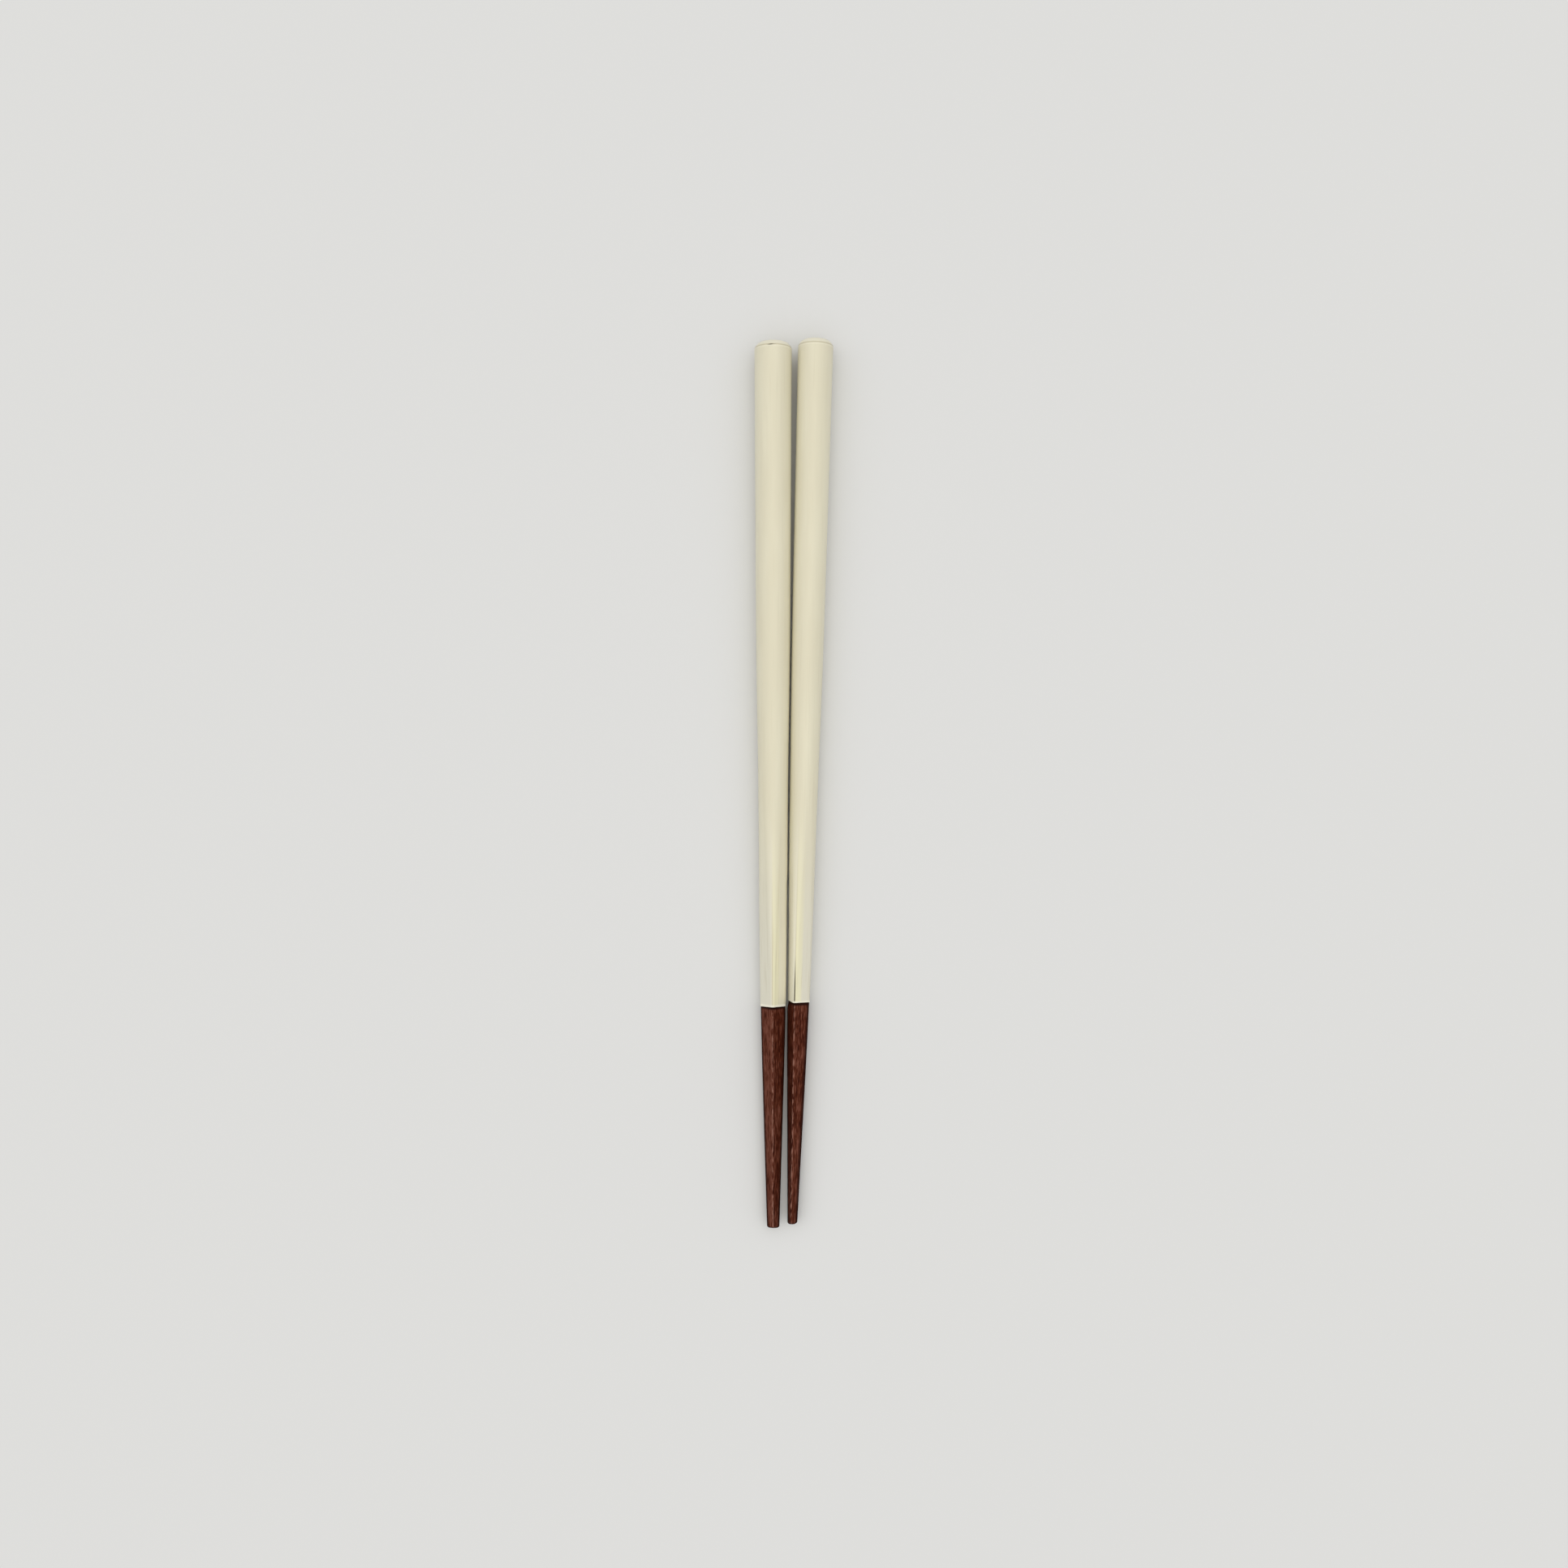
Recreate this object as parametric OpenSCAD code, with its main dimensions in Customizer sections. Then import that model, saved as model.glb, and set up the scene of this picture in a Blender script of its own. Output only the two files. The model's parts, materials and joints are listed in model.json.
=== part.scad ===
// A pair of lacquered wooden chopsticks that lie side by side, as they come to rest on a table.
// Each stick is one piece of wood: round at the grip, and planed to four soft-edged flats towards the tip.
// A lacquer coat closes over the domed grip end and stops at a small step above the bare tip.
// The table is the plane z = 0, the grip ends point along +Y, and the origin is under the middle of the pair.

/* [Stick form] */
// Length of each stick, from the top of its dome to the end of its tip
stick_l = 225; // [200:1:260]
// Taper of the round grip, in degrees from the axis
grip_taper = 0.3; // [0.1:0.01:0.5]
// Taper of the four flats, in degrees from the axis
flat_taper = 1.22; // [1.1:0.01:1.5]
// Difference in half-width over which one taper eases into the other
taper_ease = 0.4; // [0.1:0.02:1]
// Distance from the top of the dome up to which the stick is round
round_to = 100; // [60:1:130]
// Distance from the top of the dome from which the four edges are fully formed
square_from = 190; // [150:1:220]
// Radius left on the four edges of the bare tip
edge_r = 0.3; // [0.1:0.05:0.6]
// Height of the dome on the grip end, from its rim to its top
dome_h = 1.6; // [1:0.1:3.5]
// Fullness of the dome: a higher value gives it a flatter top and rounder shoulders
dome_fullness = 6; // [2:0.5:10]
// Radius round the blunt end of the tip
tip_round = 0.6; // [0.2:0.1:0.8]

/* [Left stick] */
// Diameter of the wood at the grip end of the left stick
left_grip_d = 9.25; // [8:0.05:11]
// Width across the flats at the tip of the left stick
left_tip_w = 2.4; // [1.8:0.05:3]
// Turn of the left stick about its own length
left_roll = 48; // [0:1:90]

/* [Right stick] */
// Diameter of the wood at the grip end of the right stick
right_grip_d = 8.7; // [8:0.05:11]
// Width across the flats at the tip of the right stick
right_tip_w = 2; // [1.8:0.05:3]
// Turn of the right stick about its own length
right_roll = 64; // [0:1:90]

/* [Lacquer] */
// Length of the lacquered part, from the top of the dome to the step
lacquer_l = 168.3; // [120:0.1:190]
// Thickness of the lacquer coat
lacquer_t = 0.12; // [0.06:0.02:0.4]

/* [Laying] */
// Clear gap between the sticks where they lie closest
side_gap = 0.15; // [0.1:0.05:3]
// Angle between the sticks, which brings their tips together
right_turn = 1.52; // [0:0.02:3]
// How far the right stick lies ahead of the left one, towards the grip end
right_lead = 0.7; // [-10:0.1:10]

/* [Smoothness] */
// Points on each rounded corner of a section
corner_points = 10; // [4:1:12]
// Spacing of the sections along a stick
section_step = 14; // [6:1:30]
// Sections in the dome
dome_sections = 5; // [3:1:8]
// Sections in the rounding of the tip
tip_sections = 3; // [2:1:6]

/* [Hidden] */
wood_colour = [0.33, 0.16, 0.13];
lacquer_colour = [0.86, 0.83, 0.73];
section_points = 4 * corner_points;

// A stick is the list of its grip diameter, its tip width and its turn
left = [left_grip_d, left_tip_w, left_roll];
right = [right_grip_d, right_tip_w, right_roll];

// The smaller of two values, eased where they are about equal
function soft_min(a, b, ease) =
    let (share = max(0, min(1, 0.5 + (b - a) / (2 * ease))))
    b + (a - b) * share - ease * share * (1 - share);

// A step from 0 to 1 that starts and ends level
function smooth_step(x) =
    let (share = max(0, min(1, x)))
    share * share * (3 - 2 * share);

function total(values) = values * [for (value = values) 1];

function reversed(list) = [for (i = [len(list) - 1 : -1 : 0]) list[i]];

// Distances at equal steps of about section_step, without the first one
function stations(from, to) =
    let (count = max(1, ceil((to - from) / section_step)))
    [for (i = [1 : count]) from + (to - from) * i / count];

// Distances from the top of the dome at which the stick's weight and width are taken
places = concat([dome_h], stations(dome_h, stick_l - tip_round));

// Half the width across the flats of the wood, at distance t from the top of the dome
function half_flat(t, stick) =
    let (grip = stick[0] / 2 - t * tan(grip_taper))
    let (flat = stick[1] / 2 + (stick_l - t) * tan(flat_taper))
    soft_min(grip, flat, taper_ease);

// Corner radius of the wood's section: a full round at the grip, and a soft edge at the tip
function corner_r(t, stick) =
    let (half = half_flat(t, stick))
    half + (min(edge_r, half) - half) * smooth_step((t - round_to) / (square_from - round_to));

function coat_at(t) = t <= lacquer_l ? lacquer_t : 0;

// Half the width of the finished stick as it lies, which its turn makes wider where it is square
function half_width(t, stick) =
    let (corner = corner_r(t, stick))
    (half_flat(t, stick) - corner) * (abs(cos(stick[2])) + abs(sin(stick[2]))) + corner + coat_at(t);

// Area of the finished stick's section
function section_area(t, stick) =
    let (half = half_flat(t, stick) + coat_at(t))
    let (corner = corner_r(t, stick) + coat_at(t))
    4 * half * half - (4 - PI) * corner * corner;

// Distance of the balance point from the top of the dome
function balance_at(stick) =
    let (areas = [for (t = places) section_area(t, stick)])
    (areas * places) / total(areas);

// Pairs of places on both sides of the balance point, each with how far the line under them lies from
// the axis at that point. The pair whose line lies furthest carries the stick.
function footings(stick) =
    let (balance = balance_at(stick))
    [for (a = places, b = places)
        if (a < balance && b > balance)
        let (share = (balance - a) / (b - a))
        [half_width(a, stick) * (1 - share) + half_width(b, stick) * share, a, b]];

// Tilt of the axis at which the stick lies on that pair of places
function pitch(stick) =
    let (all = footings(stick))
    let (reach = max([for (footing = all) footing[0]]))
    let (pair = [for (footing = all) if (footing[0] == reach) footing][0])
    atan((half_width(pair[1], stick) - half_width(pair[2], stick)) / (pair[2] - pair[1]));

// One section: a square with round corners, turned about the stick's axis, which runs along -Y
function section(t, half, corner, roll) = [
    for (quarter = [0 : 3], point = [0 : corner_points - 1])
    let (centre_angle = roll + 90 * quarter + 45)
    let (angle = roll + 90 * (quarter + (point + 0.5) / corner_points))
    let (centre = (half - corner) * sqrt(2))
    [centre * cos(centre_angle) + corner * cos(angle), -t, centre * sin(centre_angle) + corner * sin(angle)]
];

// Section of the stick at distance t, with a coat of the given thickness
function body_section(t, stick, coat) =
    section(t, half_flat(t, stick) + coat, corner_r(t, stick) + coat, stick[2]);

// Sections of the dome from near its top to its rim, on the surface that lies the given depth under the
// lacquer. They lie close together along the shoulders, and the dome meets the side at a crisp rim.
function dome(stick, depth) =
    let (rim = half_flat(dome_h, stick) + lacquer_t - depth)
    [for (i = [1 : dome_sections])
        let (drop = pow(i / dome_sections, 2))
        let (radius = rim * pow(drop, 1 / dome_fullness))
        section(depth + dome_h * drop, radius, radius, stick[2])];

// Sections of the wood under the lacquer, and of the lacquer over it
function covered(stick) = concat(
    dome(stick, lacquer_t),
    [for (t = stations(dome_h + lacquer_t, lacquer_l)) body_section(t, stick, 0)]
);

function coat(stick) = concat(
    dome(stick, 0),
    [for (t = stations(dome_h, lacquer_l)) body_section(t, stick, lacquer_t)]
);

// Sections of the bare wood from the step to the blunt tip
function bare(stick) = concat(
    [for (t = stations(lacquer_l, stick_l - tip_round)) body_section(t, stick, 0)],
    [for (i = [1 : tip_sections])
        let (angle = 90 * i / tip_sections)
        let (t = stick_l - tip_round * (1 - sin(angle)))
        let (half = half_flat(t, stick) - tip_round * (1 - cos(angle)))
        section(t, half, corner_r(t, stick) * half / half_flat(t, stick), stick[2])]
);

// Distance between the tops of the two domes, at which the turned right stick just clears the left one
spread = side_gap + max([
    for (t = places)
    half_width(t - right_lead, left) + half_width(t, right) * cos(right_turn) + t * sin(right_turn)
]);

left_pitch = pitch(left);
right_pitch = pitch(right);

function tilted(point, angle) =
    [point.x, point.y * cos(angle) - point.z * sin(angle), point.y * sin(angle) + point.z * cos(angle)];

function yawed(point, angle) =
    [point.x * cos(angle) + point.y * sin(angle), point.y * cos(angle) - point.x * sin(angle), point.z];

// Outer surface of each stick as it lies, before the pair is set over the origin
function outer_points(stick, tilt, yaw, shift) = [
    for (ring = concat(coat(stick), bare(stick)), point = ring)
    yawed(tilted(point, tilt), yaw) + shift
];

left_outer = outer_points(left, left_pitch, 0, [0, 0, 0]);
right_outer = outer_points(right, right_pitch, right_turn, [spread, right_lead, 0]);

function low(points, axis) = min([for (point = points) point[axis]]);

function high(points, axis) = max([for (point = points) point[axis]]);

function middle(axis) =
    let (outer = concat(left_outer, right_outer))
    (low(outer, axis) + high(outer, axis)) / 2;

left_at = [-middle(0), -middle(1), -low(left_outer, 2)];
right_at = [spread - middle(0), right_lead - middle(1), -low(right_outer, 2)];

// Closes a skin over a row of sections, from one end point to the other. Each cell is split along the
// diagonal that starts at the section nearer the dome, so that two skins over the same sections match.
module skin(first, sections, last) {
    count = len(sections);
    points = concat([first], [for (ring = sections, point = ring) point], [last]);
    function index(ring, point) = 1 + ring * section_points + point % section_points;
    ends = [
        for (point = [0 : section_points - 1])
        each [
            [0, index(0, point + 1), index(0, point)],
            [len(points) - 1, index(count - 1, point), index(count - 1, point + 1)]
        ]
    ];
    sides = [
        for (ring = [0 : count - 2], point = [0 : section_points - 1])
        let (a = index(ring, point))
        let (b = index(ring, point + 1))
        let (c = index(ring + 1, point + 1))
        let (d = index(ring + 1, point))
        let (onward = sections[ring][0].y > sections[ring + 1][0].y)
        each onward ? [[a, b, c], [a, c, d]] : [[a, b, d], [b, c, d]]
    ];
    polyhedron(points, concat(ends, sides));
}

module lay_left() {
    translate(left_at)
        rotate([left_pitch, 0, 0])
            children();
}

module lay_right() {
    translate(right_at)
        rotate([0, 0, -right_turn])
            rotate([right_pitch, 0, 0])
                children();
}

module wood(stick) {
    color(wood_colour)
        skin([0, -lacquer_t, 0], concat(covered(stick), bare(stick)), [0, -stick_l, 0]);
}

module lacquer(stick) {
    color(lacquer_colour)
        skin([0, 0, 0], concat(coat(stick), reversed(covered(stick))), [0, -lacquer_t, 0]);
}

module left_stick() {
    lay_left() wood(left);
}

module left_lacquer() {
    lay_left() lacquer(left);
}

module right_stick() {
    lay_right() wood(right);
}

module right_lacquer() {
    lay_right() lacquer(right);
}

left_stick();
left_lacquer();
right_stick();
right_lacquer();
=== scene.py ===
# %% [markdown]
# # A pair of lacquered chopsticks
# Two wooden sticks lie side by side on a pale table. Each one is round at the grip and planed to four flats
# towards the tip. A cream lacquer covers the grip and stops at a small step, and the wood below it is bare.
# The part's solids are loaded first as a fixed frame, and every finer piece is then made in its place.

# %% Load the frame
import json
import math
from collections import Counter

import bmesh
import bpy
from mathutils import Matrix, Vector

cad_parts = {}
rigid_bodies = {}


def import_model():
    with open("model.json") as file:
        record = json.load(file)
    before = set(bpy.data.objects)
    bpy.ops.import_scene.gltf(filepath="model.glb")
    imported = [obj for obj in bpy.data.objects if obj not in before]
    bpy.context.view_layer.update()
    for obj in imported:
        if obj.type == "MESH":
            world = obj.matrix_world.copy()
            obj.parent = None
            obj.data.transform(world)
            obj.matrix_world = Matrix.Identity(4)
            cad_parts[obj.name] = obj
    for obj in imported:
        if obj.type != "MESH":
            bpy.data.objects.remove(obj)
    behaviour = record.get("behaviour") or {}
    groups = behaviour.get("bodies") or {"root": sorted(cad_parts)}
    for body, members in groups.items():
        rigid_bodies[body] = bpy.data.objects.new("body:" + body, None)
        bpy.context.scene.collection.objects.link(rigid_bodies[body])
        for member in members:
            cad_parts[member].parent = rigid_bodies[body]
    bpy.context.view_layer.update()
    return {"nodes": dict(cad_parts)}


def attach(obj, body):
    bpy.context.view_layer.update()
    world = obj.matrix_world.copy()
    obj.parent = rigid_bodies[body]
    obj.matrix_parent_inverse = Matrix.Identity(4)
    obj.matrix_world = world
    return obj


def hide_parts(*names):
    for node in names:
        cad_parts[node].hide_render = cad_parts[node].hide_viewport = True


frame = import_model()
bpy.context.scene.view_settings.view_transform = "Standard"
bpy.ops.object.select_all(action="DESELECT")
print("solids in the frame:", sorted(frame["nodes"]))

# %% [markdown]
# ## The camera
# The photo looks straight down on the table, with the grip ends at the top. A camera with no turn already
# looks straight down, so only its place and its lens are worked out. The width that the picture takes in at
# the height of the sticks gives the lens, and a camera not far above the table gives the near parts the
# same slight growth as in the photo.

# %% Photo camera
PICTURE_WIDTH = 0.3982
PICTURE_MIDDLE = (-0.0025, 0.0003)
CAMERA_HEIGHT = 0.38
STICK_HEIGHT = 0.0043
SENSOR_WIDTH = 36

bpy.ops.object.camera_add(location=(*PICTURE_MIDDLE, CAMERA_HEIGHT), rotation=(0, 0, 0))
camera = bpy.context.object
camera.name = "photo_camera"
camera.data.sensor_width = SENSOR_WIDTH
camera.data.lens = SENSOR_WIDTH * (CAMERA_HEIGHT - STICK_HEIGHT) / PICTURE_WIDTH
camera.data.clip_start = 0.01
bpy.context.scene.camera = camera
print("lens in mm:", round(camera.data.lens, 2))

# %% [markdown]
# ## The table and the light
# The table is a plain pale sheet, wide enough to reach the horizon in a low view. The light is a bright room:
# faint near the table, stronger from the walls, and strongest and a little warmer from the ceiling. So the
# tops of the round grips are brightest and yellowest, and the shadows on the table stay soft. A broad lamp
# at the left tells the flats apart.

# %% Shader helpers
def add_node(tree, kind, inputs=None, **settings):
    """Adds a shader node, and fills its inputs with values or with links from other nodes."""
    made = tree.nodes.new(kind)
    for name, value in settings.items():
        setattr(made, name, value)
    for socket, value in (inputs or {}).items():
        if isinstance(value, bpy.types.NodeSocket):
            tree.links.new(value, made.inputs[socket])
        else:
            made.inputs[socket].default_value = value
    return made


def between(tree, value, low, high, start=0.0, end=1.0):
    """Eases from one value to another while the input goes from low to high."""
    inputs = {"Value": value, "From Min": low, "From Max": high, "To Min": start, "To Max": end}
    return add_node(tree, "ShaderNodeMapRange", inputs, interpolation_type="SMOOTHSTEP").outputs["Result"]


def math_node(tree, operation, first, second=0.0):
    """One step of arithmetic on two values."""
    return add_node(tree, "ShaderNodeMath", {0: first, 1: second}, operation=operation).outputs[0]


def times(tree, first, second):
    """Multiplies two values."""
    return math_node(tree, "MULTIPLY", first, second)


def tint(tree, share, first, second):
    """Blends two colours."""
    return add_node(tree, "ShaderNodeMix", {0: share, 6: first, 7: second}, data_type="RGBA").outputs[2]


def new_finish(name):
    """Makes an empty material and returns it with its node tree and its main shader."""
    finish = bpy.data.materials.new(name)
    finish.use_nodes = True
    return finish, finish.node_tree, finish.node_tree.nodes["Principled BSDF"]


# %% Pale table
TABLE_SIZE = 30
TABLE_COLOUR = (0.714, 0.718, 0.716, 1)
TABLE_ROUGHNESS = 0.9

bpy.ops.mesh.primitive_plane_add(size=TABLE_SIZE)
table = bpy.context.object
table.name = "table_top"
table_finish, _, table_shader = new_finish("pale_table")
table_shader.inputs["Base Color"].default_value = TABLE_COLOUR
table_shader.inputs["Roughness"].default_value = TABLE_ROUGHNESS
table_shader.inputs["Specular IOR Level"].default_value = 0
table.data.materials.append(table_finish)
print("table top:", TABLE_SIZE, "m wide")

# %% Soft light
# Height is 0 towards the horizon and 1 straight up. The walls brighten over one range of it, and the
# ceiling comes in over another.
WALL_RISE = (0.10, 0.75)
CEILING_EDGE = (0.80, 0.98)
TABLE_GLOW = 0.40
WALL_GLOW = 1.00
CEILING_GLOW = 0.72
WALL_COLOUR = (0.985, 0.99, 1.02, 1)
CEILING_COLOUR = (1.0, 0.960, 0.830, 1)

world = bpy.data.worlds.new("bright_room")
world.use_nodes = True
bpy.context.scene.world = world
room = world.node_tree
toward = add_node(room, "ShaderNodeTexCoord").outputs["Generated"]
height = add_node(room, "ShaderNodeSeparateXYZ", {"Vector": toward}).outputs["Z"]
ceiling = between(room, height, *CEILING_EDGE)
walls = between(room, height, *WALL_RISE, TABLE_GLOW, WALL_GLOW)
room_glow = math_node(room, "ADD", walls, times(room, ceiling, CEILING_GLOW))
room_colour = tint(room, ceiling, WALL_COLOUR, CEILING_COLOUR)
print("room nodes:", len(room.nodes))

# %% Plain backdrop
# The camera sees a plain pale backdrop above the table in place of the room.
BACKDROP_GLOW = 0.74
BACKDROP_COLOUR = (0.985, 0.985, 0.965, 1)

seen = add_node(room, "ShaderNodeLightPath").outputs["Is Camera Ray"]
glow = add_node(room, "ShaderNodeMix", {0: seen, 2: room_glow, 3: BACKDROP_GLOW}).outputs[0]
room.links.new(glow, room.nodes["Background"].inputs["Strength"])
room.links.new(tint(room, seen, room_colour, BACKDROP_COLOUR), room.nodes["Background"].inputs["Color"])
print("backdrop glow:", BACKDROP_GLOW)

# %% Broad lamp
LAMP_PLACE = Vector((-3, 0.6, 1.8))
LAMP_SIZE = 2
LAMP_POWER = 3

lamp_turn = (-LAMP_PLACE).to_track_quat("-Z", "Y").to_euler()
bpy.ops.object.light_add(type="AREA", location=LAMP_PLACE, rotation=lamp_turn)
lamp = bpy.context.object
lamp.name = "left_lamp"
lamp.data.size = LAMP_SIZE
lamp.data.energy = LAMP_POWER
print("lamp:", lamp.name)

# %% [markdown]
# ## Where the sticks lie
# Each stick lies tilted a little, because its grip is thicker than its tip, and the right one is turned so
# that the tips come together. The ends of a stick can be read from the frame: the triangles of a solid meet
# in a fan at the middle of each end, so these two points come up most often among its corners. The line
# between them is the stick's axis, and a matrix made from it carries anything modelled along -Y at the
# origin to where the stick lies. The fine round sides would hang a hair lower than the coarser solids do,
# so the matrix lifts them by as much.

# %% Measure the sticks
LIFT = 0.000015


def end_points(node):
    """The two end points of a solid, where most of its triangles meet."""
    corners = Counter(tuple(vertex.co) for vertex in frame["nodes"][node].data.vertices)
    return [Vector(place) for place, _ in corners.most_common(2)]


def stick_place(side):
    """Returns the matrix from a stick's own straight space to its place on the table, and its length."""
    top = max(end_points(side + "_lacquer"), key=lambda place: place.y)
    tip = min(end_points(side + "_stick"), key=lambda place: place.y)
    along = (top - tip).normalized()
    across = along.cross((0, 0, 1)).normalized()
    upward = across.cross(along)
    turn = Matrix((across, along, upward)).transposed()
    return Matrix.Translation(top + Vector((0, 0, LIFT))) @ turn.to_4x4(), (top - tip).length


# %% Form of the sticks
# Sizes in metres and angles in radians, as in the part's source.
GRIP_TAPER = math.radians(0.3)
FLAT_TAPER = math.radians(1.22)
TAPER_EASE = 0.0004
ROUND_TO = 0.100
SQUARE_FROM = 0.190
EDGE_RADIUS = 0.0003
DOME_HEIGHT = 0.0016
DOME_FULLNESS = 6
TIP_ROUND = 0.0006
LACQUER_THICKNESS = 0.00012

STICKS = {
    "left": {"grip": 0.00925, "tip": 0.0024, "roll": math.radians(48), "lacquer": 0.1682},
    "right": {"grip": 0.0087, "tip": 0.002, "roll": math.radians(64), "lacquer": 0.1680},
}
for side, stick in STICKS.items():
    stick["place"], stick["length"] = stick_place(side)
    print(side, "stick:", round(stick["length"] * 1000, 2), "mm long")

# %% [markdown]
# ## The section of a stick
# A section across the stick is a square with round corners. At the grip the corners take up the whole square,
# so it is a circle, and towards the tip they shrink to soft edges. Two straight tapers meet in an eased
# bend. Two small functions give the size and the corner radius at any distance from the top of the dome.

# %% Size of a section
def eased_step(value):
    """A step from 0 to 1 that starts and ends level."""
    share = max(0.0, min(1.0, value))
    return share * share * (3 - 2 * share)


def half_flat(stick, distance):
    """Half the width of the wood across its flats."""
    grip = stick["grip"] / 2 - distance * math.tan(GRIP_TAPER)
    flat = stick["tip"] / 2 + (stick["length"] - distance) * math.tan(FLAT_TAPER)
    share = max(0.0, min(1.0, 0.5 + (flat - grip) / (2 * TAPER_EASE)))
    return flat + (grip - flat) * share - TAPER_EASE * share * (1 - share)


def corner_radius(stick, distance):
    """Radius of the wood's corners: half the width at the grip, and a soft edge at the tip."""
    half = half_flat(stick, distance)
    squareness = eased_step((distance - ROUND_TO) / (SQUARE_FROM - ROUND_TO))
    return half + (EDGE_RADIUS - half) * squareness


for side, stick in STICKS.items():
    print(side, "width at the step in mm:", round(half_flat(stick, stick["lacquer"]) * 2000, 2))

# %% [markdown]
# ## A skin over sections
# The stick changes from round to square along its length, so it can't be one stretched cylinder. It is lofted
# as a boat hull is: a flat square is added at each station, its four corners are bevelled to their radius,
# and Bridge Edge Loops draws the skin over the row. The ends are filled, and the middle of a fill is moved
# out to the end point.

# %% Select by place
def select_places(test):
    """Selects the points of the piece in edit mode that pass a test on their place."""
    bpy.ops.mesh.select_all(action="DESELECT")
    mesh = bmesh.from_edit_mesh(bpy.context.object.data)
    for vertex in mesh.verts:
        vertex.select = not vertex.hide and test(vertex.co)
    mesh.select_flush_mode()
    bmesh.update_edit_mesh(bpy.context.object.data)


# %% One rounded square
# A corner never takes up quite half of its side, so that the bevels of two corners don't meet.
CORNER_STEPS = 23
ROUNDEST = 0.998


def add_section(distance, half, corner, roll):
    """Adds a square across the stick and rounds its corners."""
    turn = (math.pi / 2, -roll, 0)
    bpy.ops.mesh.primitive_plane_add(size=2 * half, location=(0, -distance, 0), rotation=turn)
    bpy.ops.mesh.bevel(offset=min(corner, half * ROUNDEST), segments=CORNER_STEPS, affect="VERTICES")


# %% Skin and ends
# Two places nearer than this count as the same.
NEAR = 0.000002


def add_skin(sections, roll):
    """Draws a skin over a row of sections, each given as its distance, half-width and corner radius."""
    for distance, half, corner in sections:
        add_section(distance, half, corner, roll)
    bpy.ops.mesh.select_all(action="SELECT")
    bpy.ops.mesh.delete(type="ONLY_FACE")
    bpy.ops.mesh.select_all(action="SELECT")
    bpy.ops.mesh.bridge_edge_loops()


def close_end(ring_at, point_at):
    """Fills the open ring at one end, and moves the middle of the fill to a point on the axis."""
    select_places(lambda place: abs(place.y + ring_at) < NEAR)
    bpy.ops.mesh.edge_face_add()
    bpy.ops.mesh.poke()
    select_places(lambda place: abs(place.y + ring_at) < NEAR and math.hypot(place.x, place.z) < NEAR)
    bpy.ops.transform.translate(value=(0, ring_at - point_at, 0))


def start_piece(name):
    """Starts an empty piece at the origin and goes into edit mode on it."""
    bpy.ops.object.select_all(action="DESELECT")
    bpy.ops.mesh.primitive_plane_add(size=1)
    piece = bpy.context.object
    piece.name = name
    bpy.ops.object.mode_set(mode="EDIT")
    bpy.ops.mesh.delete(type="VERT")
    return piece


# %% [markdown]
# ## The wood
# The wood is one piece from the dome under the lacquer to the blunt tip. Stations lie close together where
# the form bends or gets marks later, at the dome, the step and the tip, and further apart in between.

# %% Stations along a stick
STATION_STEP = 0.003
DOME_RINGS = 14
TIP_RINGS = 5
TIP_ZONE = 0.003
FINE_STEP = 0.0004
LIP_ZONE = 0.004


def stations(start, end, step=STATION_STEP):
    """Distances at equal steps of about the given size, without the first one."""
    count = max(1, math.ceil((end - start) / step))
    return [start + (end - start) * i / count for i in range(1, count + 1)]


def dome_sections(stick, depth):
    """Round sections of the dome, on the surface that lies a depth under the lacquer."""
    rim = half_flat(stick, DOME_HEIGHT) + LACQUER_THICKNESS - depth
    rings = []
    for i in range(1, DOME_RINGS + 1):
        drop = (i / DOME_RINGS) ** 2
        radius = rim * drop ** (1 / DOME_FULLNESS)
        rings.append((depth + DOME_HEIGHT * drop, radius, radius))
    return rings


def side_section(stick, distance, coat=0.0):
    """Section of the side, with a coat over the wood."""
    return (distance, half_flat(stick, distance) + coat, corner_radius(stick, distance) + coat)


def tip_sections(stick):
    """Sections that round the blunt end of the tip."""
    rings = []
    for i in range(1, TIP_RINGS + 1):
        angle = math.pi / 2 * i / TIP_RINGS
        distance = stick["length"] - TIP_ROUND * (1 - math.sin(angle))
        wide = half_flat(stick, distance)
        half = wide - TIP_ROUND * (1 - math.cos(angle))
        rings.append((distance, half, corner_radius(stick, distance) * half / wide))
    return rings


# %% Wood of both sticks
def make_wood(side, stick):
    """Lofts the wood of one stick from its dome to its tip."""
    piece = start_piece(side + "_wood")
    sections = dome_sections(stick, LACQUER_THICKNESS)
    lip_start, lip_end = stick["lacquer"] - LIP_ZONE, stick["lacquer"] + LIP_ZONE
    tip_start, tip_end = stick["length"] - TIP_ZONE, stick["length"] - TIP_ROUND
    along = stations(sections[-1][0], lip_start) + stations(lip_start, lip_end, FINE_STEP)
    along += stations(lip_end, tip_start) + stations(tip_start, tip_end, FINE_STEP)
    sections += [side_section(stick, distance) for distance in along]
    sections += tip_sections(stick)
    add_skin(sections, stick["roll"])
    close_end(sections[0][0], LACQUER_THICKNESS)
    close_end(sections[-1][0], stick["length"])
    bpy.ops.mesh.select_all(action="SELECT")
    bpy.ops.mesh.normals_make_consistent(inside=False)
    bpy.ops.object.mode_set(mode="OBJECT")
    return piece


for side, stick in STICKS.items():
    stick["wood"] = make_wood(side, stick)
    print(side, "wood points:", len(stick["wood"].data.vertices))

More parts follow.
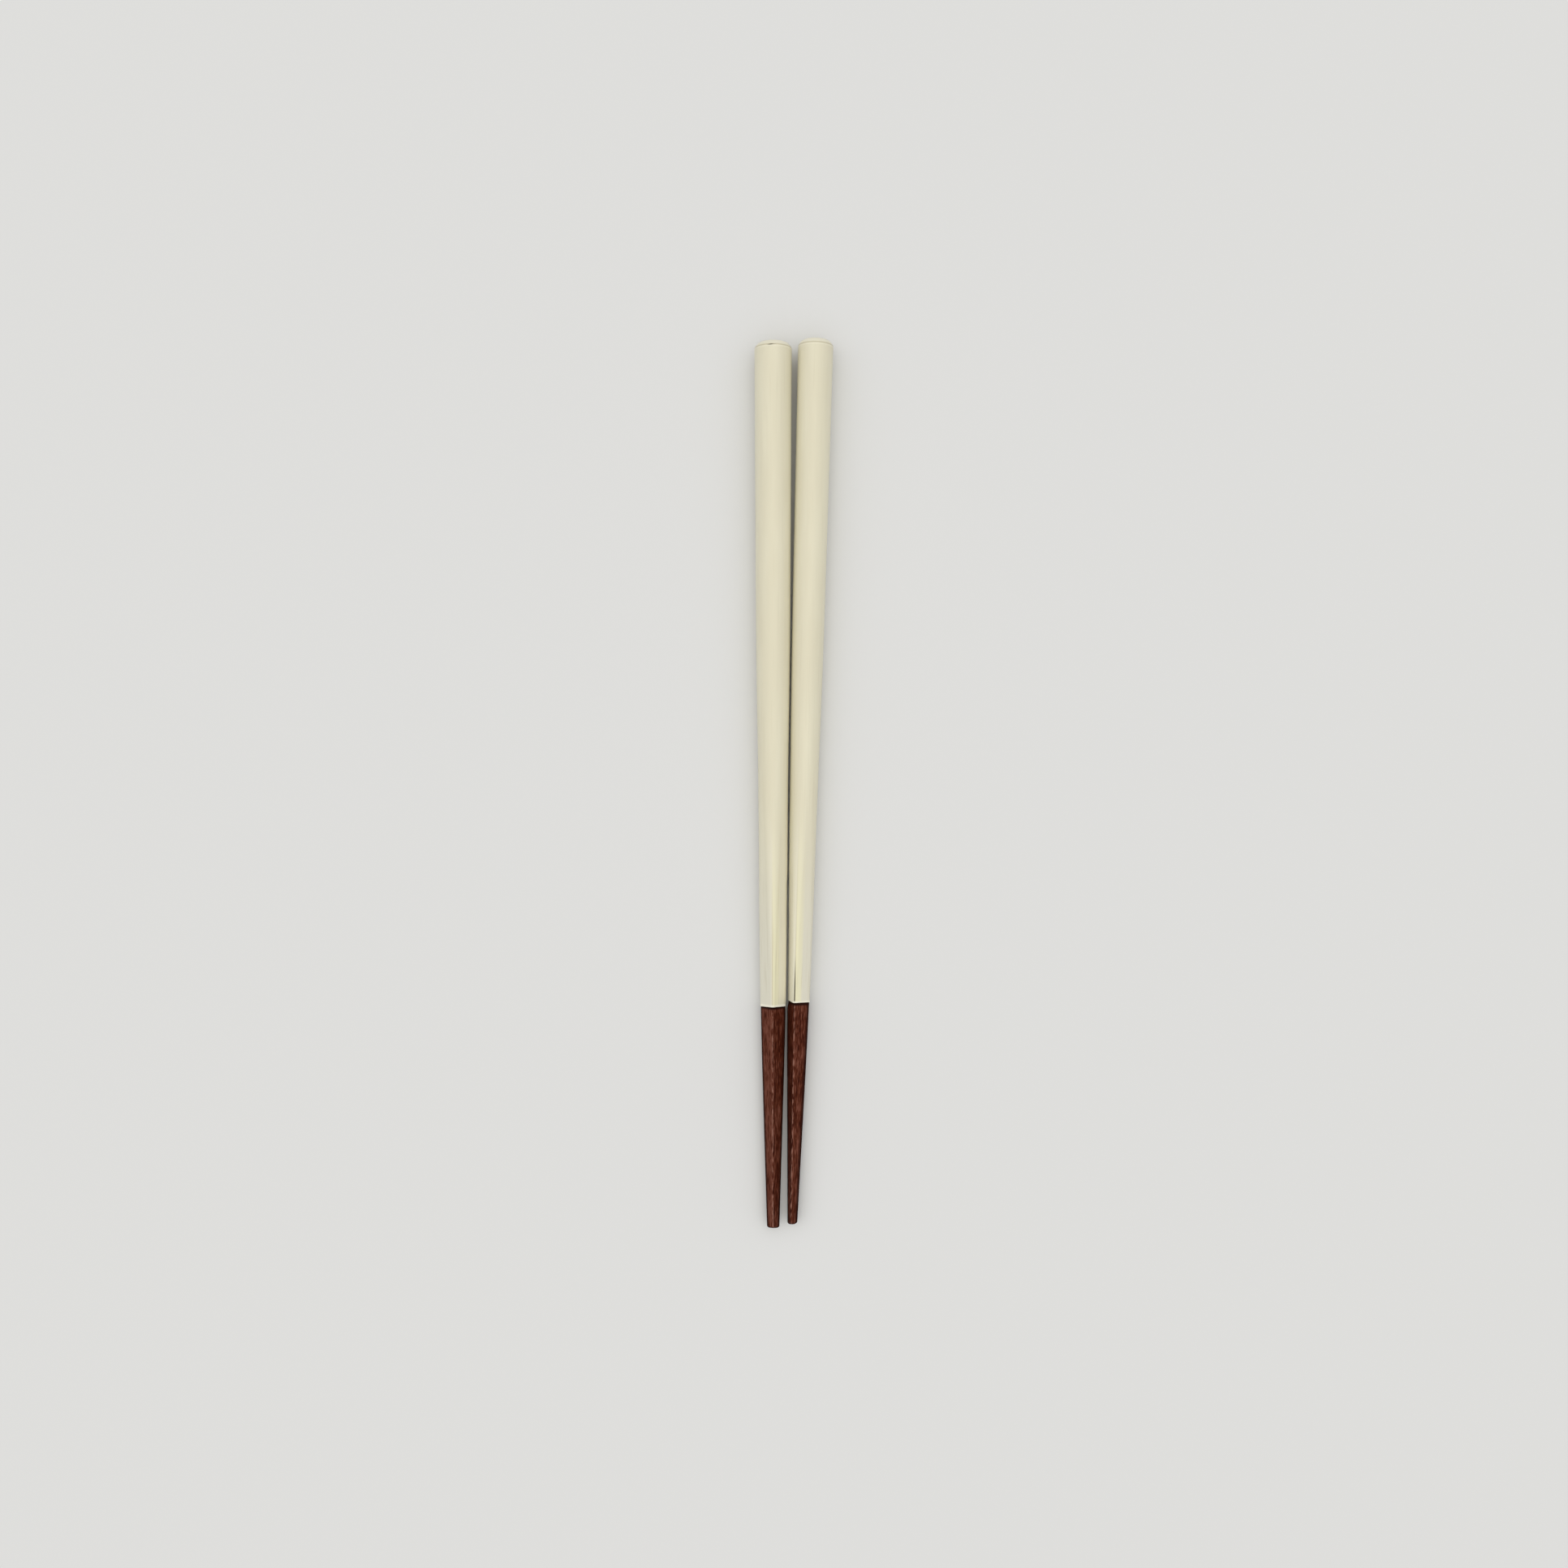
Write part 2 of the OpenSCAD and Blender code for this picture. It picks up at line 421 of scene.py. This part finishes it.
# %% [markdown]
# ## The lacquer coat
# The lacquer is a thin cup drawn over the grip. Its outside and its inside are two skins over the same
# stations, and a third bridge joins them at the step. A bridge between two rings in one plane follows the
# faces beside them, so the inner skin is turned to face inwards first. A brush leaves a slightly thicker lip,
# so the last stations swell a little. The rim of the dome and the edge of the lip are bevelled, because a
# film of lacquer is never quite sharp.

# %% Stations of the coat
LIP_SWELL = 0.00003
LIP_REACH = 0.0006
RIM_STEPS = (0.0004, 0.0012)


def swell(stick, distance):
    """Extra thickness of the coat just above the step."""
    return LIP_SWELL * math.exp(-((stick["lacquer"] - distance) / LIP_REACH) ** 2)


def coat_stations(stick):
    """Distances along the side of the coat, close together at the rim of the dome and at the lip."""
    near_rim = [DOME_HEIGHT + step for step in RIM_STEPS]
    lip_start = stick["lacquer"] - LIP_ZONE
    return near_rim + stations(near_rim[-1], lip_start) + stations(lip_start, stick["lacquer"], FINE_STEP)


print("stations on a coat:", len(coat_stations(STICKS["left"])))

# %% Height over the wood
RIM_SOFTNESS = 0.00012
LIP_SOFTNESS = 0.00006
SOFT_STEPS = 3


def height_over_wood(stick, place):
    """How far a point lies outside the wood's side, measured square to it."""
    half = half_flat(stick, -place.y)
    corner = corner_radius(stick, -place.y)
    angle = math.atan2(place.z, place.x) - stick["roll"]
    reach = math.hypot(place.x, place.z)
    over_x = max(abs(reach * math.cos(angle)) - (half - corner), 0)
    over_z = max(abs(reach * math.sin(angle)) - (half - corner), 0)
    return math.hypot(over_x, over_z) - corner


def soften_ring(stick, distance, width):
    """Bevels the outer ring of edges at a distance along the coat."""
    select_places(
        lambda place: abs(place.y + distance) < NEAR
        and height_over_wood(stick, place) > LACQUER_THICKNESS / 2
    )
    bpy.ops.mesh.bevel(offset=width, segments=SOFT_STEPS, affect="EDGES")


# %% Coats of both sticks
def make_coat(side, stick):
    """Makes the lacquer of one stick as an outer and an inner skin, joined at the step."""
    piece = start_piece(side + "_coat")
    outer = dome_sections(stick, 0)
    inner = dome_sections(stick, LACQUER_THICKNESS)
    for distance in coat_stations(stick):
        outer.append(side_section(stick, distance, LACQUER_THICKNESS + swell(stick, distance)))
        inner.append(side_section(stick, distance))
    add_skin(outer, stick["roll"])
    close_end(outer[0][0], 0)
    bpy.ops.mesh.select_all(action="SELECT")
    bpy.ops.mesh.normals_make_consistent(inside=False)
    bpy.ops.mesh.hide()
    add_skin(inner, stick["roll"])
    close_end(inner[0][0], LACQUER_THICKNESS)
    bpy.ops.mesh.select_all(action="SELECT")
    bpy.ops.mesh.normals_make_consistent(inside=True)
    bpy.ops.mesh.reveal()
    select_places(lambda place: abs(place.y + stick["lacquer"]) < NEAR)
    bpy.ops.mesh.bridge_edge_loops()
    bpy.ops.mesh.select_all(action="SELECT")
    bpy.ops.mesh.normals_make_consistent(inside=False)
    soften_ring(stick, DOME_HEIGHT, RIM_SOFTNESS)
    soften_ring(stick, stick["lacquer"], LIP_SOFTNESS)
    bpy.ops.object.mode_set(mode="OBJECT")
    return piece


for side, stick in STICKS.items():
    stick["coat"] = make_coat(side, stick)
    print(side, "coat points:", len(stick["coat"].data.vertices))

# %% [markdown]
# ## Marks of making and use
# The lip isn't quite level: the brush left it a little longer here and shorter there, and a small notch is
# missing at the inner side of the right stick. Where the sticks face each other above the step, their side
# ridges are rubbed flatter. The tips are worn: their upper ridges are rounded off at the end, and the right
# one has lost a corner. The rim of the left dome has a chip, where the lacquer came off. All of it is pulled
# one by one: a point or a line is moved, and proportional editing draws its neighbours after it.

# %% Pull a point
def pick(piece):
    """Makes a piece the only one selected, and the active one."""
    bpy.ops.object.select_all(action="DESELECT")
    piece.select_set(True)
    bpy.context.view_layer.objects.active = piece


def pull_places(piece, test, by, reach):
    """Moves the points of a piece that pass a test, and draws the points around after them."""
    pick(piece)
    bpy.ops.object.mode_set(mode="EDIT")
    select_places(test)
    bpy.ops.transform.translate(
        value=by,
        use_proportional_edit=True,
        proportional_edit_falloff="SMOOTH",
        proportional_size=reach,
    )
    bpy.ops.object.mode_set(mode="OBJECT")


def pull(piece, place, by, reach):
    """Moves the point of a piece that is nearest a place, and draws the points around after it."""
    nearest = min(piece.data.vertices, key=lambda vertex: (vertex.co - place).length).co.copy()
    pull_places(piece, lambda other: (other - nearest).length < NEAR, by, reach)


def round_place(stick, distance, angle, coat=LACQUER_THICKNESS):
    """The place on a stick's surface at a distance from the top and an angle from its right side."""
    half = half_flat(stick, distance) + coat
    corner = corner_radius(stick, distance) + coat
    # The turn counts from the middle of the nearest rounded corner, whose centre lies out from the axis.
    turn = math.radians((angle - math.degrees(stick["roll"])) % 90 - 45)
    centre = (half - corner) * math.sqrt(2)
    on_corner = centre * math.cos(turn) + math.sqrt(max(corner ** 2 - (centre * math.sin(turn)) ** 2, 0))
    on_flat = half / math.cos(math.pi / 4 - abs(turn))
    reach = min(on_corner, on_flat) * min(1, distance / DOME_HEIGHT) ** (1 / DOME_FULLNESS)
    bearing = math.radians(angle)
    return Vector((reach * math.cos(bearing), -distance, reach * math.sin(bearing)))


# %% Flatten the inner side ridges
# Each rub starts at a distance from the top, and moves the ridge inwards from there to below the step.
RIDGE_ANGLES = {"left": 3, "right": 199}
RUBS = {
    "left": ((0.136, -0.00010),),
    "right": ((0.1275, 0.00010), (0.136, 0.00010), (0.146, 0.00010)),
}
RUB_PAST_STEP = 0.0004
RUB_WIDTH = 3.5
RUB_REACH = 0.002


def on_ridge(side, start, place):
    """Tells whether a place is on a stick's inner side ridge, from a distance to just below the step."""
    bearing = math.degrees(math.atan2(place.z, place.x)) % 360
    along = start < -place.y < STICKS[side]["lacquer"] + RUB_PAST_STEP
    return along and abs(bearing - RIDGE_ANGLES[side]) < RUB_WIDTH


def rub_ridge(side, start, amount):
    """Moves the ridge of the wood and of its coat by the same amount."""
    for kind in ("wood", "coat"):
        piece = STICKS[side][kind]
        pull_places(piece, lambda place: on_ridge(side, start, place), (amount, 0, 0), RUB_REACH)


for side, rubs in RUBS.items():
    for start, amount in rubs:
        rub_ridge(side, start, amount)
    print(side, "inner ridge rubbed", len(rubs), "times")

# %% Pull the lips
# Each pull has its angle round the stick, how far it moves the lip up the stick, and its reach.
LIP_PULLS = {
    "left": ((150, -0.00020, 0.0020), (35, -0.00015, 0.0020), (250, 0.00015, 0.0020)),
    "right": (
        (163, 0.00025, 0.0004),
        (95, 0.00006, 0.0012),
        (40, 0.00008, 0.0012),
        (280, -0.00012, 0.0018),
    ),
}

for side, pulls in LIP_PULLS.items():
    for angle, amount, reach in pulls:
        lip_point = round_place(STICKS[side], STICKS[side]["lacquer"], angle)
        pull(STICKS[side]["coat"], lip_point, (0, amount, 0), reach)
    print(side, "lip pulled at", len(pulls), "places")

# %% Wear the tips
# Each pull has its angle round the tip, how far it moves the edge up the stick, and its reach.
TIP_PULLS = {
    "left": ((93, 0.00030, 0.0013),),
    "right": ((109, 0.00055, 0.0014), (19, 0.00035, 0.0012)),
}

for side, pulls in TIP_PULLS.items():
    for angle, amount, reach in pulls:
        edge_point = round_place(STICKS[side], STICKS[side]["length"], angle, 0)
        pull(STICKS[side]["wood"], edge_point, (0, amount, 0), reach)
    print(side, "tip worn at", len(pulls), "places")

# %% Finer faces for the chip
# The rim of the left dome is too coarse for a small chip, so the faces around it are subdivided. The faces
# next to the finer patch then have many points on one straight edge. All are cut into even triangles, because
# a plain cut leaves some with no area.
CHIP_ANGLES = range(83, 111, 2)
CHIP_ZONE = 0.0022
CHIP_CUTS = 3

left = STICKS["left"]
chip_middle = round_place(left, DOME_HEIGHT, sum(CHIP_ANGLES) / len(CHIP_ANGLES))
pick(left["coat"])
bpy.ops.object.mode_set(mode="EDIT")
select_places(
    lambda place: (place - chip_middle).length < CHIP_ZONE
    and height_over_wood(left, place) > LACQUER_THICKNESS / 2 - (place.y + DOME_HEIGHT)
)
bpy.ops.mesh.subdivide(number_cuts=CHIP_CUTS)
bpy.ops.mesh.select_more()
bpy.ops.mesh.quads_convert_to_tris(quad_method="BEAUTY", ngon_method="BEAUTY")
bpy.ops.object.mode_set(mode="OBJECT")
print("left coat points after subdividing:", len(left["coat"].data.vertices))

# %% Chip the rim of the left dome
# The chip is fullest in its middle. It runs a little aslant, and crosses the rim at one angle. A value on
# each point tells the finish where the chip is.
CHIP_SLOPE = 0.000006
CHIP_ON_RIM = 99
CHIP_DEPTH = 0.00010
CHIP_REACH = 0.00028

chip = []
for i, angle in enumerate(CHIP_ANGLES):
    chip_point = round_place(left, DOME_HEIGHT + CHIP_SLOPE * (angle - CHIP_ON_RIM), angle)
    fullness = math.sqrt(math.sin(math.pi * (i + 1) / (len(CHIP_ANGLES) + 1)))
    chip.append((chip_point, CHIP_REACH * fullness))
    pull(left["coat"], chip_point, (0, -CHIP_DEPTH / 3 * fullness, -CHIP_DEPTH * fullness), CHIP_REACH)
chip_mark = left["coat"].data.attributes.new("chip", "FLOAT", "POINT")
for vertex, mark in zip(left["coat"].data.vertices, chip_mark.data):
    mark.value = max(0.0, 1 - min((vertex.co - point).length / reach for point, reach in chip))
print("points in the chip:", sum(mark.value > 0 for mark in chip_mark.data))

# %% Lay the sticks on the table
SMOOTH_ANGLE = math.radians(35)


def lay_piece(piece, stick, node):
    """Lays a finished piece where the stick lies, and lets it stand for a solid of the frame."""
    pick(piece)
    bpy.ops.object.shade_smooth_by_angle(angle=SMOOTH_ANGLE)
    piece.matrix_world = stick["place"]
    bpy.ops.object.transform_apply(location=True, rotation=True, scale=True)
    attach(piece, "root")
    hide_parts(node)
    print(piece.name, "faces:", len(piece.data.polygons))


for side, stick in STICKS.items():
    lay_piece(stick["wood"], stick, side + "_stick")
    lay_piece(stick["coat"], stick, side + "_lacquer")

# %% [markdown]
# ## Patterns that follow a stick
# Grain and brush marks run along each stick, and the sticks lie at different angles. A Mapping node turns
# Object coordinates into the stick's own space, with Y along it and X and Z square to its flats. Noise that
# is stretched along Y gives streaks, and the place where X and Z are equal is the ridge between two flats.

# %% Pattern helpers
def stick_space(tree, stick):
    """Object coordinates in the stick's own space, turned with its flats."""
    place = stick["place"] @ Matrix.Rotation(-stick["roll"], 4, "Y")
    where = add_node(tree, "ShaderNodeTexCoord").outputs["Object"]
    inputs = {"Vector": where, "Location": place.to_translation(), "Rotation": place.to_euler()}
    return add_node(tree, "ShaderNodeMapping", inputs, vector_type="TEXTURE").outputs["Vector"]


def streaks(tree, where, across, along, detail):
    """Noise with spots of a given size across and along the stick."""
    scale = (1 / across, 1 / along, 1 / across)
    stretched = add_node(tree, "ShaderNodeMapping", {"Vector": where, "Scale": scale}).outputs["Vector"]
    inputs = {"Vector": stretched, "Scale": 1, "Detail": detail}
    return add_node(tree, "ShaderNodeTexNoise", inputs).outputs["Fac"]


def ridge_parts(tree, where):
    """How far a point is from the nearest ridge and from the dome's top, and which face and ridge it is on.

    The face is above 0 left of the ridge on top and below 0 right of it. The last value is above 0 only
    near that ridge.
    """
    axes = add_node(tree, "ShaderNodeSeparateXYZ", {"Vector": where}).outputs
    wide = math_node(tree, "ABSOLUTE", axes["X"])
    tall = math_node(tree, "ABSOLUTE", axes["Z"])
    apart = math_node(tree, "ABSOLUTE", math_node(tree, "SUBTRACT", wide, tall))
    ridge = times(tree, apart, math.sqrt(0.5))
    distance = times(tree, axes["Y"], -1.0)
    face = math_node(tree, "SUBTRACT", axes["Z"], axes["X"])
    upper = math_node(tree, "MINIMUM", axes["X"], axes["Z"])
    return ridge, distance, face, upper


def add_bump(tree, shader, height, strength, depth):
    """Lets a pattern raise and lower the surface."""
    bump = add_node(tree, "ShaderNodeBump", {"Height": height, "Strength": strength, "Distance": depth})
    tree.links.new(bump.outputs["Normal"], shader.inputs["Normal"])


# %% [markdown]
# ## Bare wood
# The bare wood is a dark red-brown hardwood, planed and rubbed with oil. The flats carry painted light and
# shade: the left stick's left flat is painted paler as lit from the left, and the right stick's inner flat is
# painted darker as shaded by its neighbour. Fine fibres run along both. The ridge on top is paler in places,
# partly from wear and partly as a painted highlight where it catches the light. The lower side ridges, the
# line under the lip and the very end of the tip are painted darker as shade. All of it is noise at a few
# sizes, stretched along the stick. The same noise drives a shallow bump.

# %% Wood colours
# The darkest colour is painted shade: on the lower side ridges, just under the lip and at the end of the tip.
WOOD_SHADE = (0.016, 0.0026, 0.0010, 1)
WOOD_DEEP = (0.037, 0.0058, 0.0020, 1)
WOOD_RED = (0.076, 0.0162, 0.0063, 1)
WOOD_PALE = (0.156, 0.0515, 0.0325, 1)
# The paler colour on the ridge on top is partly wear and partly a painted highlight where the ridge catches
# the light.
WOOD_WORN_AND_LIT = (0.280, 0.1380, 0.1020, 1)
# Painted light and shade: tones of the flats to the right and to the left of the ridge on top, paler
# where the light falls and darker where the other stick shades them.
FACE_LIGHT_AND_SHADE_TONES = {"left": (-0.08, 0.54), "right": (0.12, -0.35)}

# %% Wood patterns
# A pattern has its size across and along the stick, and its detail. A range has the two values between which
# something changes, and what it changes from and to, if that isn't 0 and 1. A bump has its strength and its
# depth. PATTERN_TONES says how much the drift, the fibres and the flecks change the tone.
WOOD_DRIFT = (0.0012, 0.009, 3)
FIBRES = (0.00034, 0.0042, 4)
FLECKS = (0.00026, 0.0016, 2)
PATTERN_TONES = (0.25, 0.58, 0.45)
PATTERN_RANGE = (0.36, 0.64)
FACE_EDGE = (-0.0002, 0.0002)
PALE_TONES = (0.0, 1.0)
DEEP_TONES = (-0.7, 0.0, 1.0, 0.0)
WORN_AND_LIT_RIDGE = (0.00008, 0.00028, 0.85, 0.0)
WORN_FLECKS = (0.42, 0.62)
RIDGE_ON_TOP = (0.0, 0.0003)
# Painted shade on the side ridges, which turn down away from the light.
SHADED_SIDE_RIDGES = (0.0002, 0.0009, 0.95, 0.0)
LOWER_RIDGES = (-0.0003, 0.0, 1.0, 0.0)
# Painted shade in a thin line on the wood just under the lacquer's lip.
SHADE_UNDER_LIP = (0.0004, 0.0010, 1.0, 0.0)
# Painted shade at the very end of the tip.
SHADE_AT_TIP_END = (-0.0006, -0.0001, 0.0, 0.9)
WOOD_ROUGHNESS = (0.3, 0.7, 0.60, 0.48)
WOOD_SHINE = 0.05
FLECK_HEIGHT = 0.5
WOOD_BUMP = (0.5, 0.00004)


# %% Wood finish
def wood_finish(side, stick):
    """Dark wood with fibres, a worn top ridge, and painted light and shade on its flats, ridges, lip line and
    tip.
    """
    finish, tree, shader = new_finish(side + "_bare_wood")
    where = stick_space(tree, stick)
    ridge, distance, face, upper = ridge_parts(tree, where)
    drift, fibres, flecks = [streaks(tree, where, *pattern) for pattern in (WOOD_DRIFT, FIBRES, FLECKS)]
    # Painted light and shade: each flat gets its tone from how the light falls on it.
    tone = between(tree, face, *FACE_EDGE, *FACE_LIGHT_AND_SHADE_TONES[side])
    for pattern, amount in zip((drift, fibres, flecks), PATTERN_TONES):
        tone = math_node(tree, "ADD", tone, between(tree, pattern, *PATTERN_RANGE, -amount, amount))
    # The ridge on top is paler, partly from wear and partly as a painted highlight.
    worn = times(tree, between(tree, ridge, *WORN_AND_LIT_RIDGE), between(tree, upper, *RIDGE_ON_TOP))
    past_lip = math_node(tree, "SUBTRACT", distance, stick["lacquer"])
    past_end = math_node(tree, "SUBTRACT", distance, stick["length"])
    # Painted shade on the lower side ridges.
    shaded_low_ridge = times(tree, between(tree, ridge, *SHADED_SIDE_RIDGES), between(tree, upper, *LOWER_RIDGES))
    layers = [
        (between(tree, tone, *PALE_TONES), WOOD_PALE),
        (between(tree, tone, *DEEP_TONES), WOOD_DEEP),
        (times(tree, worn, between(tree, flecks, *WORN_FLECKS)), WOOD_WORN_AND_LIT),
        (shaded_low_ridge, WOOD_SHADE),
        # Painted shade under the lip.
        (between(tree, past_lip, *SHADE_UNDER_LIP), WOOD_SHADE),
        # Painted shade at the end of the tip.
        (between(tree, past_end, *SHADE_AT_TIP_END), WOOD_SHADE),
    ]
    colour = WOOD_RED
    for share, over in layers:
        colour = tint(tree, share, colour, over)
    tree.links.new(colour, shader.inputs["Base Color"])
    tree.links.new(between(tree, fibres, *WOOD_ROUGHNESS), shader.inputs["Roughness"])
    shader.inputs["Specular IOR Level"].default_value = WOOD_SHINE
    add_bump(tree, shader, math_node(tree, "ADD", fibres, times(tree, flecks, FLECK_HEIGHT)), *WOOD_BUMP)
    return finish


for side, stick in STICKS.items():
    stick["wood"].data.materials.append(wood_finish(side, stick))
    print(stick["wood"].name, "finish:", stick["wood"].data.materials[0].name)

# %% [markdown]
# ## Cream lacquer
# The lacquer is a satin cream with a soft highlight. Its tone drifts a little and faint brush streaks run
# along it. Where the sticks are planed, light is painted into the colour: the outer flats are painted greyer
# as under cool side light, the inner flat of the right one is painted paler as lit by light bounced off the
# left stick, and a painted yellow highlight runs beside the ridge on top. Towards the step the film is
# thinner on that ridge, so the dark wood shows as a thin line, and on the right stick it has worn through.
# The rim of the dome is a thin line too, with a painted highlight just below it, and the dome above it is
# painted paler to lift its shade. The lip carries a painted highlight, and the chip on the left rim shows
# wood. Each of these is one layer of colour over the ones before it.

# %% Lacquer colours
CREAM = (0.750, 0.711, 0.545, 1)
CREAM_DEEP = (0.712, 0.668, 0.505, 1)
# Painted light: this paler cream lifts the inner flat, the band below the rim, the dome and the lip.
CREAM_PAINTED_LIGHT = (0.880, 0.850, 0.710, 1)
# Painted highlight: the yellower band beside the ridge on top.
CREAM_YELLOW_HIGHLIGHT = (0.780, 0.745, 0.500, 1)
# Painted light: the outer flats are greyed as under cool side light.
CREAM_SIDE_LIGHT_GREY = {"left": (0.715, 0.690, 0.570, 1), "right": (0.685, 0.658, 0.545, 1)}
THIN_FILM = (0.480, 0.430, 0.290, 1)
WORN_DARK = (0.090, 0.076, 0.040, 1)

# %% Lacquer patterns
# Patterns, ranges and the bump are written as for the wood. A range that differs between the sticks is given
# for each of them, or for the only stick that shows it.
CREAM_DRIFT = (0.004, 0.03, 3)
BRUSH = (0.0004, 0.030, 3)
PEEL = (0.0009, 0.0012, 2)
DRIFT_RANGE = (0.3, 0.7)
PLANED = (0.115, 0.160)
TOP_FLATS = (0.0002, 0.0006)
# Painted light: where the outer flats are greyed.
OUTER_FLATS = {"left": (0.0, 0.0004), "right": (-0.0012, -0.0026)}
# Painted light on the right stick's inner flat, as lit by light bounced off the left stick.
INNER_FLATS = {"right": (0.0, 0.0004, 0.0, 0.6)}
YELLOW_HIGHLIGHT_BAND = (0.0002, 0.0028, 0.9, 0.0)
RIGHT_OF_RIDGE = (-0.0002, 0.0, 1.0, 0.0)
BRUSH_LINES = (0.54, 0.72)
BRUSH_ALONG = (0.120, 0.166, 0.10, 0.45)
# Painted highlight on a band just below the rim of the dome.
HIGHLIGHT_BELOW_RIM_START = (0.0001, 0.0003)
HIGHLIGHT_BELOW_RIM_END = (0.0003, 0.0007, 0.35, 0.0)
# Painted light: the dome above the rim is made paler to lift its shade.
PAINTED_LIGHT_DOME = (-0.0004, -0.0001, 0.5, 0.0)
RIM_LINE = (0.00006, 0.00020, 0.65, 0.0)
THIN_LINE = {"left": (0.00010, 0.00026, 0.55, 0.0), "right": (0.00010, 0.00026, 0.35, 0.0)}
THIN_ALONG = (0.136, 0.160)
WORN_LINE = {"right": (0.00010, 0.00025, 1.0, 0.0)}
WORN_ALONG = (0.155, 0.1645)
# Painted highlight along the lip.
LIP_HIGHLIGHT = (-0.0007, -0.0002, 0.0, 0.9)
CHIP_RANGE = (0.15, 0.6, 0.0, 0.9)
LACQUER_ROUGHNESS = (0.3, 0.7, 0.34, 0.42)
LACQUER_BUMP = (0.35, 0.000015)


# %% Lacquer finish
def lacquer_finish(side, stick):
    """Satin cream lacquer, thin at the rim of the dome and on the ridges near the step."""
    finish, tree, shader = new_finish(side + "_cream_lacquer")
    where = stick_space(tree, stick)
    ridge, distance, face, upper = ridge_parts(tree, where)
    drift, brush, peel = [streaks(tree, where, *pattern) for pattern in (CREAM_DRIFT, BRUSH, PEEL)]
    planed = between(tree, distance, *PLANED)
    on_top = between(tree, upper, *TOP_FLATS)
    past_rim = math_node(tree, "SUBTRACT", distance, DOME_HEIGHT)
    past_lip = math_node(tree, "SUBTRACT", distance, stick["lacquer"])
    layers = [
        (between(tree, drift, *DRIFT_RANGE), CREAM_DEEP),
        # Painted light: the outer flats are greyed as under cool side light.
        (times(tree, between(tree, face, *OUTER_FLATS[side]), planed), CREAM_SIDE_LIGHT_GREY[side]),
    ]
    # Painted light: the right stick's inner flat is made paler, as lit by light bounced off the left stick.
    if side in INNER_FLATS:
        layers.append((times(tree, between(tree, face, *INNER_FLATS[side]), planed), CREAM_PAINTED_LIGHT))
    # Painted highlight: a yellower band right of the ridge on top.
    yellow_highlight = times(tree, between(tree, ridge, *YELLOW_HIGHLIGHT_BAND), between(tree, face, *RIGHT_OF_RIDGE))
    streaked = times(tree, between(tree, brush, *BRUSH_LINES), between(tree, distance, *BRUSH_ALONG))
    # Painted highlight: a paler band just below the rim of the dome.
    highlight_below_rim = times(tree, between(tree, past_rim, *HIGHLIGHT_BELOW_RIM_START), between(tree, past_rim, *HIGHLIGHT_BELOW_RIM_END))
    thin = times(tree, between(tree, ridge, *THIN_LINE[side]), between(tree, distance, *THIN_ALONG))
    layers += [
        (times(tree, times(tree, yellow_highlight, on_top), planed), CREAM_YELLOW_HIGHLIGHT),
        (streaked, THIN_FILM),
        (highlight_below_rim, CREAM_PAINTED_LIGHT),
        # Painted light: the dome is made paler to lift its shade.
        (between(tree, past_rim, *PAINTED_LIGHT_DOME), CREAM_PAINTED_LIGHT),
        (between(tree, math_node(tree, "ABSOLUTE", past_rim), *RIM_LINE), THIN_FILM),
        (times(tree, thin, on_top), THIN_FILM),
    ]
    if side in WORN_LINE:
        worn = times(tree, between(tree, ridge, *WORN_LINE[side]), between(tree, distance, *WORN_ALONG))
        layers.append((times(tree, worn, on_top), WORN_DARK))
    # Painted highlight along the lip.
    layers.append((between(tree, past_lip, *LIP_HIGHLIGHT), CREAM_PAINTED_LIGHT))
    if "chip" in stick["coat"].data.attributes:
        chipped = add_node(tree, "ShaderNodeAttribute", attribute_name="chip").outputs["Fac"]
        layers.append((between(tree, chipped, *CHIP_RANGE), WORN_DARK))
    colour = CREAM
    for share, over in layers:
        colour = tint(tree, share, colour, over)
    tree.links.new(colour, shader.inputs["Base Color"])
    tree.links.new(between(tree, drift, *LACQUER_ROUGHNESS), shader.inputs["Roughness"])
    add_bump(tree, shader, math_node(tree, "ADD", peel, brush), *LACQUER_BUMP)
    return finish


for side, stick in STICKS.items():
    stick["coat"].data.materials.append(lacquer_finish(side, stick))
    print(stick["coat"].name, "finish:", stick["coat"].data.materials[0].name)
